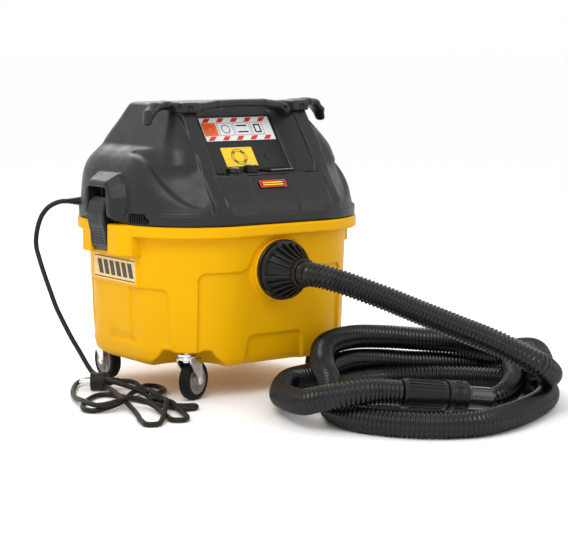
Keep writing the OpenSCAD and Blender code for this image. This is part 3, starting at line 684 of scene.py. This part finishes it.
def make_inlet():
    """Fixed ring on the tank and the turning connector with its finned cone."""
    at, out = (0, -198, PORT_Z), (0, -1, 0)
    ring = [(0, 27.1), (0, 50), (0.8, 52), (5, 52.3), (6.4, 51), (6.5, 44), (6.5, 27.1), (-17, 27.1),
            (-17, 30.8), (-0.2, 30.8)]
    piece("inlet_collar", *revolve(ring, 96, at, out),
          "tank_unit", "black_trim", [TRIM], ["inlet_ring"])
    body = [(7, 26.9), (7, 47), (7.6, 49.4), (9, 50), (14.4, 50), (15.6, 49), (16, 47), (17, 41), (22, 38),
            (40, 29), (56, 24.5), (61, 24.2), (63, 24.6), (67, 24.4), (68, 23.6), (68, 17.2), (-15, 17.2),
            (-15, 26.9)]
    fins = ribs(20, at, out,
                [(15.5, 38, 47.5), (19, 37, 46.6), (30, 32, 40.5), (44, 26, 32.5), (58, 23, 26)], 2.6)
    lugs = ribs(3, at, out, [(8, 48, 51.6), (15, 48, 51.6)], 16)
    points, faces = join(revolve(body, 96, at, out), fins, lugs)
    return piece("hose_cone", points, faces, "hose_connector", "black_trim", [TRIM],
                 ["hose_connector", "connector_spigot"])


def make_tool():
    cuff = [(0.3, 14.2), (0.3, 21), (1.2, 22.6), (4, 23.5), (7, 23.4), (70, 22.1), (73, 21.6), (74, 20.4),
            (74, 16.9), (106, 16.9), (106, 14.2)]
    grips = ribs(22, TOOL_AT, TOOL_AXIS, [(9, 21, 24.3), (66, 20.5, 23)], 1.7)
    points, faces = join(revolve(cuff, 72, TOOL_AT, TOOL_AXIS), grips)
    made = [piece("hose_cuff", points, faces, "tank_unit", "black_trim", [TRIM], ["tool_cuff"])]
    collar = [(74.6, 17.1), (74.6, 23.6), (76, 25), (80, 25), (81, 24.2), (84, 24.2), (85, 25), (98, 25),
              (99, 24.2), (101, 24.2), (102, 25), (105.8, 25), (107.3, 23.6), (107.3, 17.1)]
    notches = ribs(12, TOOL_AT, TOOL_AXIS, [(85.5, 24, 25.9), (97.5, 24, 25.9)], 3)
    points, faces = join(revolve(collar, 72, TOOL_AT, TOOL_AXIS), notches)
    made.append(piece("bayonet_collar", points, faces, "lock_collar", "black_trim", [TRIM], ["lock_collar"]))
    tip = [(108, 15.6), (108, 18.6), (109, 19.2), (111.4, 19.2), (112.2, 18.3), (113, 18), (146, 17.9),
           (147.6, 17.2), (148, 16.4), (148, 15.6)]
    points, faces = revolve(tip, 72, TOOL_AT, TOOL_AXIS)
    made.append(piece("tool_nozzle", points, faces, "tank_unit", "gloss_black", [GLOSS], ["nozzle"]))
    return made


# ---------------------------------------------------------------- power lead
LEAD_R = 4.3
LEAD_PTS = [
    (-211.5, 162, 322), (-225, 171, 321), (-242, 178, 313), (-255, 182, 298), (-265, 182, 274),
    (-270, 179, 246), (-269, 167, 218), (-266, 155, 191), (-261, 144, 163), (-256, 133, 136),
    (-249, 120, 110), (-242, 106, 85), (-234, 90, 60), (-227, 75, 37), (-225, 62, 27)]
# This route, like the hose's, is mostly that program's output.
HANK_PTS = [(-227, -10, 22), (-217, -68, 17), (-210, -95, 10), (-211, -111, 5), (-219, -152, 5),
            (-199, -189, 5), (-180, -201, 5), (-189, -216, 5), (-207, -213, 5), (-221, -178, 5),
            (-228, -131, 5), (-239, -66, 5), (-252, -33, 5), (-269, -31, 5), (-318, -74, 5),
            (-344, -121, 5), (-339, -138, 5), (-322, -142, 6), (-274, -120, 8), (-230, -80, 12),
            (-208, -59, 10), (-190, -44, 6), (-169, -22, 9), (-151, -21, 7), (-145, -38, 6), (-166, -80, 8),
            (-200, -98, 8), (-219, -132, 12), (-218, -158, 13), (-220, -175, 16), (-252, -224, 13),
            (-292, -276, 6), (-306, -288, 5), (-321, -282, 5), (-315, -253, 5), (-289, -192, 5),
            (-275, -129, 15), (-254, -66, 14), (-233, -4, 12), (-215, 60, 11), (-215, 78, 10),
            (-228, 89, 8), (-244, 81, 7), (-283, 28, 6), (-312, -31, 7), (-330, -94, 13), (-332, -142, 14),
            (-321, -155, 17), (-304, -155, 19), (-271, -142, 19), (-255, -148, 16), (-249, -176, 11),
            (-261, -240, 5), (-269, -276, 5), (-255, -285, 5), (-241, -273, 5), (-221, -210, 8),
            (-215, -187, 12), (-217, -163, 14), (-220, -145, 20), (-209, -107, 19), (-198, -80, 12),
            (-193, -44, 15), (-187, -20, 16), (-191, -3, 17), (-203, 6, 17)]
PLUG_AT = Vector(HANK_PTS[-1])
PLUG_AXIS = Vector((math.cos(math.radians(144.3)), math.sin(math.radians(144.3)), 0))


def make_plug():
    """Rubber plug: a ribbed neck, a round body with a shallow waist, and two pins."""
    neck = [(0, 4.3), (0.5, 5.6), (4, 6.2), (5, 5.4), (6.5, 5.6), (9, 7), (10, 6.2), (11.5, 6.4), (14, 8),
            (15, 7.2), (16.5, 7.6), (19, 9.5)]
    body = [(20, 11), (22, 14.5), (25, 16), (30, 16.3), (38, 15.2), (45, 15.6), (48.5, 16.2), (50, 15)]
    profile = neck + body + [(50, 0.2), (0, 0.2)]
    points, faces = revolve(profile, 48, PLUG_AT, PLUG_AXIS)
    plug = piece("plug_body", points, faces, "tank_unit", "black_trim", [LEAD], ["plug"])
    return [plug, frame["nodes"]["plug_pins"]]


def make_boot():
    """Bend relief at the head: a tapered rubber boot with grooves."""
    profile = [(-11, 0.3), (-11, 8), (4, 8)]
    for k in range(5):
        r, at = 7.9 - 0.55 * k, 6 + 3.4 * k
        profile += [(at, r), (at + 0.6, r - 1.2), (at + 1.6, r - 1.2), (at + 2.2, r - 0.3)]
    profile += [(23.5, 5.4), (23.9, 4.6), (23.9, 0.3)]
    points, faces = revolve(profile, 40, (-191.5, 147.5, 322), PLUG_AXIS)
    return piece("lead_boot", points, faces, "head_unit", "lead_rubber", [LEAD], ["strain_relief"])


def make_lead():
    ends = make_plug() + [make_boot()]
    path, length = smooth_path(LEAD_PTS + HANK_PTS, 5)
    path[:, 2] = np.maximum(path[:, 2], LEAD_R + 0.1)
    points, faces = tube(path, np.full(len(path), LEAD_R), 14)
    lead = piece("mains_lead", points, faces, None, "lead_rubber", [LEAD], ["power_lead", "lead_hank"],
                 smooth=180)
    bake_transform(lead)


# ---------------------------------------------------------------- casters
def make_wheel(tag):
    """Tyre and hub of one caster, turned about the wheel's own axle."""
    low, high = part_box("tyre_" + tag)
    centre = (low + high) / 2 / MM
    joint = next(j for j in frame["joints"] if j["child"] == "wheel_" + tag)
    axle = Vector(joint["axis"])
    tyre = [(-9, 24), (-9.4, 26), (-9.5, 30.2), (-9, 31.6), (-7.8, 32.9), (-6, 33.6), (-3, 33.95),
            (3, 33.95), (6, 33.6), (7.8, 32.9), (9, 31.6), (9.5, 30.2), (9.4, 26), (9, 24)]
    piece("tyre_ring_" + tag, *revolve(tyre, 80, centre, axle), "wheel_" + tag, "tyre_rubber", [TYRE],
          ["tyre_" + tag])
    face = [(11, 4.1), (11, 8.4), (10.4, 9), (6, 9.4), (4.8, 10.5), (4.8, 18.6), (5.6, 20), (8.4, 21.2),
            (9, 22), (9, 23.9)]
    profile = face + [(-a, r) for a, r in reversed(face)]
    spokes = ribs(6, centre, axle, [(-6.3, 9, 21), (6.3, 9, 21)], 2.2)
    points, faces = join(revolve(profile, 80, centre, axle), spokes)
    piece("hub_disc_" + tag, points, faces, "wheel_" + tag, "grey_plastic", [HUB], ["hub_" + tag])


def make_fork(tag):
    """Pressed zinc fork: a round race on top, a bent plate and two tapering legs with the axle bolt."""
    swivel = next(j for j in frame["joints"] if j["child"] == "caster_" + tag)
    spin = next(j for j in frame["joints"] if j["child"] == "wheel_" + tag)
    stem = Vector(swivel["pos_m"]) / MM
    hub = Vector(spin["pos_m"]) / MM
    axle = Vector(spin["axis"])
    ahead = Vector((hub.x - stem.x, hub.y - stem.y, 0)).normalized()
    foot = Vector((stem.x, stem.y, 0))
    race = [(71.6, 7.8), (71.6, 15), (72.6, 16), (74.6, 16), (75.4, 15.2), (76, 15.2), (76.6, 16),
            (77.6, 15.6), (78.3, 14.6), (78.3, 5.3), (73, 5.3), (72.6, 7.8)]
    parts = [revolve(race, 60, foot, (0, 0, 1))]
    leg = ([(-9, 73.8), (-9, 68), (-3, 58)] + [(12.5 + 0.6 * math.sin(k), 40 - 3 * k) for k in range(3)]
           + [(20 + 7.5 * math.cos(math.radians(a)), 34 + 7.5 * math.sin(math.radians(a)))
              for a in range(200, 361, 20)]
           + [(27, 48), (25.5, 60), (24, 70), (24, 73.8)])
    for side in (-1, 1):
        def place(u, v, w, side=side):
            return tuple(foot + ahead * u + axle * side * w + Vector((0, 0, v)))
        parts.append(prism(leg if side < 0 else leg[::-1], place, 12, 14.4))
        bolt = [(14.4, 0.2), (14.4, 6.6), (15.6, 6.6), (16.6, 5.6), (16.6, 0.2)]
        parts.append(revolve(bolt, 6 if side < 0 else 24, hub, axle * side))
    parts.append(revolve([(-14.2, 0.2), (-14.2, 3.95), (14.2, 3.95), (14.2, 0.2)], 24, hub, axle))

    def flat(u, v, w):
        return tuple(foot + ahead * u + axle * v + Vector((0, 0, w)))
    parts.append(prism(rounded(-9, -14.4, 24, 14.4, 2), flat, 71.6, 74))
    points, faces = join(*parts)
    fork = piece("caster_fork_" + tag, points, faces, "caster_" + tag, "zinc", [ZINC], ["fork_" + tag])
    apply_modifier(fork, "BEVEL", width=0.0006, segments=2, limit_method="ANGLE")


# ---------------------------------------------------------------- console, controls and printed film
def on_panel(u, v, w):
    """A place on the sloping panel: across, up the slope and out of it."""
    a = PANEL_SLOPE
    return (u, PANEL_FOOT_Y + v * math.cos(a) - w * math.sin(a),
            PANEL_FOOT_Z + v * math.sin(a) + w * math.cos(a))


def on_block(u, v, w):
    """A place on the sloping face of the front block."""
    a = math.radians(54.6)
    return (u, -174 + v * math.cos(a) - w * math.sin(a), 365.5 + v * math.sin(a) + w * math.cos(a))


def on_side(u, v, w):
    return (-213.3 - w, u, v)


def film(name, plates, place, body, slot):
    """Thin printed plates joined in one piece. plates are (outline, bottom, top, ink)."""
    inks = []
    parts, index = [], []
    for outline, low, high, ink in plates:
        area = sum(a[0] * b[1] - b[0] * a[1] for a, b in zip(outline, outline[1:] + outline[:1]))
        outline = outline if area > 0 else outline[::-1]
        if ink not in inks:
            inks.append(ink)
        part = prism(outline, place, low, high)
        parts.append(part)
        index += [inks.index(ink)] * len(part[1])
    points, faces = join(*parts)
    return piece(name, points, faces, body, slot, inks, smooth=30, face_mats=index)


def ring_plates(cx, cy, r, wide, sides, low, high, ink, gap=0.0):
    """A printed ring made of short segments."""
    out = []
    for k in range(sides):
        a, b = [2 * math.pi * (k + s) / sides for s in (gap / 2, 1 - gap / 2)]
        out.append(([(cx + r * math.cos(a), cy + r * math.sin(a)),
                     (cx + r * math.cos(b), cy + r * math.sin(b)),
                     (cx + (r - wide) * math.cos(b), cy + (r - wide) * math.sin(b)),
                     (cx + (r - wide) * math.cos(a), cy + (r - wide) * math.sin(a))], low, high, ink))
    return out


def make_labels():
    """Striped notice, yellow ring notice and small red plate. All are plain shapes with no lettering."""
    plates = [(rounded(-73, 65, 73, 113, 1.5), 0, 0.4, WHITE_INK)]
    for v in (66, 103.5):
        for k in range(5):
            u = -69 + k * 29
            plates.append(([(u, v), (u + 12, v), (min(u + 20, 72.5), v + 8.5), (u + 8, v + 8.5)], 0.4, 0.55,
                           RED_INK))
    plates.append((rounded(-72, 75.5, -43, 102.5, 0.6), 0.4, 0.6, ORANGE_INK))
    for u0, u1 in ((-41, -9), (-7, 27), (29, 55)):
        plates.append((rounded(u0, 75.5, u1, 102.5, 0.6), 0.4, 0.6, GREY_INK))
        plates.append((rounded(u0 + 2, 77.5, u1 - 2, 100.5, 0.6), 0.6, 0.7, WHITE_INK))
    plates += ring_plates(-25, 89, 9, 1.6, 24, 0.7, 0.8, BLACK_INK)
    plates += [(rounded(-1, 81, 21, 84, 0.5), 0.7, 0.8, BLACK_INK),
               (rounded(-1, 94, 21, 97, 0.5), 0.7, 0.8, BLACK_INK)]
    plates += [(rounded(35, 80, 49, 98, 1), 0.7, 0.8, BLACK_INK),
               (rounded(38, 83, 46, 95, 1), 0.8, 0.9, WHITE_INK)]
    plates += ring_plates(-57.5, 89, 8, 1.2, 20, 0.6, 0.75, RED_INK)
    film("panel_notice", plates, on_panel, "head_unit", "badge_print")
    ring = [(rounded(-52, 12, 13, 51, 1.5), 0, 0.4, YELLOW_INK)]
    ring += ring_plates(-19.5, 31.5, 16, 1.2, 40, 0.4, 0.55, BLACK_INK)
    ring += ring_plates(-19.5, 31.5, 11.5, 1.0, 40, 0.4, 0.55, BLACK_INK)
    ring += ring_plates(-19.5, 31.5, 14.6, 2.2, 4, 0.4, 0.6, BLACK_INK, gap=0.6)
    film("ring_notice", ring, on_panel, "head_unit", "badge_print")
    plate = [(rounded(-28, -7, 26, 7, 1), 0, 0.4, RED_INK),
             (rounded(-25, -5, 23, 5, 0.6), 0.4, 0.5, BLACK_INK),
             (rounded(-22, 1, 20, 3.4, 0.4), 0.5, 0.6, YELLOW_INK),
             (rounded(-22, -3.4, 20, -1, 0.4), 0.5, 0.6, YELLOW_INK)]
    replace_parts(film("red_plate", plate, on_block, "head_unit", "badge_print"), "labels")


def make_badges():
    """Plain badge on each side: a pale film with two lines and a row of slanted bars."""
    plates = [(rounded(-70, 196, 70, 239, 1.5), 0, 0.35, BADGE_FILM),
              (rounded(-68, 234.5, 68, 236.5, 0.4), 0.35, 0.5, BLACK_INK),
              (rounded(-68, 198.5, 68, 200.5, 0.4), 0.35, 0.5, BLACK_INK)]
    for k in range(6):
        u = -64 + k * 20
        plates.append(([(u, 205), (u + 14, 205), (u + 22, 230), (u + 8, 230)], 0.35, 0.55, BLACK_INK))
    left = film("badge_left", plates, on_side, "tank_unit", "badge_print")
    film("badge_right", plates, lambda u, v, w: (213.3 + w, -u, v), "tank_unit", "badge_print")
    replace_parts(left, "side_badge")


def console_field(x, y, z):
    """The sloping panel and the shelf, one moulded part with an oval recess and low blocks on the shelf."""
    ahead, up = y - PANEL_FOOT_Y, z - PANEL_FOOT_Z
    v = ahead * math.cos(PANEL_SLOPE) + up * math.sin(PANEL_SLOPE)
    w = -ahead * math.sin(PANEL_SLOPE) + up * math.cos(PANEL_SLOPE)
    panel = box_field(x, v, w, (-79, 0, -5), (79, 121, 0), 0.6)
    shelf = box_field(x, y, z, (-79, -156, 377.5), (79, -114, 383), 0.6)
    body = soft_min(panel, shelf, 3)
    oval = np.sqrt(((x - 40) / 1.0) ** 2 + ((v - 31) / 1.5) ** 2) - 5
    body = soft_max(body, -np.maximum(oval, -w - 1.3), 0.6)
    for ear in (5.6, 60.4):
        body = soft_min(body, box_field(x, y, z, (ear - 1.8, -122, 382), (ear + 1.8, -116, 389), 0.6), 0.5)
    for knob_x, r in ((MODE_X, 6), (AIRFLOW_X, 6), (OUTLET_X, 17.8)):
        body = np.maximum(body, -(np.hypot(x - knob_x, y - CONTROLS_Y) - r + 90 * (z > 390)))
    return body


def make_console():
    points, quads = iso_mesh(console_field, (-83, -160, 373), (83, -36, 486), 1.6, steps=3)
    piece("console_panel", points, quads, "head_unit", "black_shell", [BLACK], ["console"], smooth=60)


def make_knob(name, x, r, top, grips):
    """A finger knob with grip flutes, a crown and a raised pointer bar."""
    profile = [(383.6, 0.2), (383.6, r - 0.8), (384.2, r), (top - 2.4, r - 0.8), (top - 1, r - 2),
               (top - 0.4, r - 3.4), (top - 0.6, r * 0.4), (top - 0.6, 0.2)]
    at = (x, CONTROLS_Y, 0)
    fins = ribs(grips, at, (0, 0, 1), [(384.4, r - 2, r + 0.4), (top - 2.6, r - 2, r - 0.2)], 1.5)
    points, faces = join(revolve(profile, 64, at, (0, 0, 1)), fins,
                         revolve([(363, 0.2), (363, 2.9), (383.8, 2.9), (383.8, 0.2)], 24, at, (0, 0, 1)))

    def place(u, v, w):
        return (x + u, CONTROLS_Y + v, w)
    pointer = prism(rounded(-1.4, -r + 2.5, 1.4, r * 0.3, 0.8), place, top - 1, top + 0.2)
    base = len(faces)
    points, faces = join((points, faces), pointer)
    index = [0] * base + [1] * (len(faces) - base)
    piece(name + "_cap", points, faces, name, "black_trim", [TRIM, WHITE_INK], [name], smooth=35,
          face_mats=index)


def flap_field(x, y, z):
    """Outlet flap: a rounded lid with two finger slots and a hinge barrel."""
    lid = box_field(x, y, z, (9, -155, 384), (57.5, -120, 387.4), 1.1)
    for slot_x in (22, 44):
        lid = soft_max(lid, -box_field(x, y, z, (slot_x - 8, -150, 386), (slot_x + 8, -143, 392), 1), 0.5)
    barrel = np.maximum(np.hypot(y + 119.5, z - 386) - 2.4, np.abs(x - 33) - 24.8)
    pin = np.maximum(np.hypot(y + 119.5, z - 386) - 1.5, np.abs(x - 33) - 28.8)
    return np.minimum(soft_min(lid, barrel, 1), pin)


def make_flap():
    points, quads = iso_mesh(flap_field, (2, -158, 381), (64, -114, 391), 0.9)
    flap = piece("socket_flap", points, quads, "outlet_flap", "black_trim", [TRIM], ["outlet_flap"],
                 smooth=60)
    # Painted highlight: a thin grey strip along the lid's front edge stands in for light catching that edge.
    points, faces = prism(rounded(11, -153.6, 55.5, -151.4, 0.6), lambda u, v, w: (u, v, w), 387.3, 387.9)
    highlight_strip = piece("flap_edge_highlight", points, faces, "outlet_flap", "grey_plastic", [GREY_INK])
    return flap, highlight_strip


def make_vent():
    """Upright fins in the window of the left skirt."""
    inset = 6.3

    def plate(u, v, w):
        w = w - inset
        return (VENT_X - w * math.cos(VENT_TURN) - u * math.sin(VENT_TURN),
                VENT_Y - w * math.sin(VENT_TURN) + u * math.cos(VENT_TURN), v)
    parts = [prism([(-21, 304.4), (-21, 309), (-10.5, 317), (24, 317), (24, 304.4)], plate, 0, 1.2)]
    for k in range(8):
        u = -17 + 5.2 * k
        top = 310 if k == 0 else 316.5
        parts.append(prism(rounded(u, 304.6, u + 1.9, top, 0.5), plate, 1.2, 6))
    piece("vent_fins", *join(*parts), "head_unit", "black_shell", [TRIM], ["vent_grille"], smooth=30)


# ---------------------------------------------------------------- CAD nodes that show as they are
def dress_nodes():
    """Gives each CAD node that still shows its own material."""
    looks = {"inlet_deflector": TRIM, "latch_pins": ZINC, "caster_mounts": ZINC, "plug_pins": ZINC,
             "head_base": TRIM, "head_gasket": LEAD, "screws": TRIM, "motor_housing": HUB,
             "motor_stator": STEEL, "motor_bearings": ZINC, "motor_foam": FOAM, "filter_media": PAPER,
             "filter_caps": LEAD, "circuit_board": BOARD, "switch_bodies": HUB, "outlet_socket": TRIM,
             "float_cage": TRIM, "rotor": STEEL, "impeller": ALLOY, "float_ball": FLOAT}
    for name, mat in looks.items():
        node = frame["nodes"][name]
        node.data.materials.clear()
        node.data.materials.append(mat)


# ---------------------------------------------------------------- studio
def make_studio():
    size = 60.0
    mesh = bpy.data.meshes.new("floor")
    mesh.from_pydata([(-size, -size, 0), (size, -size, 0), (size, size, 0), (-size, size, 0)], [],
                     [(0, 1, 2, 3)])
    floor = bpy.data.objects.new("floor", mesh)
    bpy.context.scene.collection.objects.link(floor)
    mesh.materials.append(material("studio_floor", (0.985, 0.985, 0.985), 0.8, vary=0.002, spec=0.2))
    world = bpy.data.worlds.new("studio")
    bpy.context.scene.world = world
    world.use_nodes = True
    world.node_tree.nodes["Background"].inputs["Color"].default_value = (1, 1, 1, 1)
    world.node_tree.nodes["Background"].inputs["Strength"].default_value = 1.0
    lamps = (("key", (-1.6, -1.2, 2.2), 30, 1.3), ("fill", (1.8, -2.2, 1.4), 8, 1.6),
             ("rim", (0.6, 1.8, 1.9), 22, 1.4))
    for name, at, power, wide in lamps:
        lamp = bpy.data.objects.new(name, bpy.data.lights.new(name, "AREA"))
        bpy.context.scene.collection.objects.link(lamp)
        lamp.data.energy = power
        lamp.data.size = wide
        lamp.location = at
        lamp.rotation_mode = "QUATERNION"
        lamp.rotation_quaternion = (Vector((0, 0, 0.25)) - Vector(at)).to_track_quat("-Z", "Y")
    bpy.context.scene.view_settings.view_transform = "Standard"


# ---------------------------------------------------------------- the whole object
CELL = 2.5
make_studio()
make_hose([make_inlet()] + make_tool())
make_lead()
make_tank()
make_head()
make_handle()
make_latches()
for corner in ("fl", "fr", "rl", "rr"):
    make_wheel(corner)
    make_fork(corner)
make_console()
make_knob("mode_knob", MODE_X, 14, 392.6, 10)
make_knob("airflow_knob", AIRFLOW_X, 12.5, 396.6, 12)
make_flap()
make_vent()
make_labels()
make_badges()
dress_nodes()
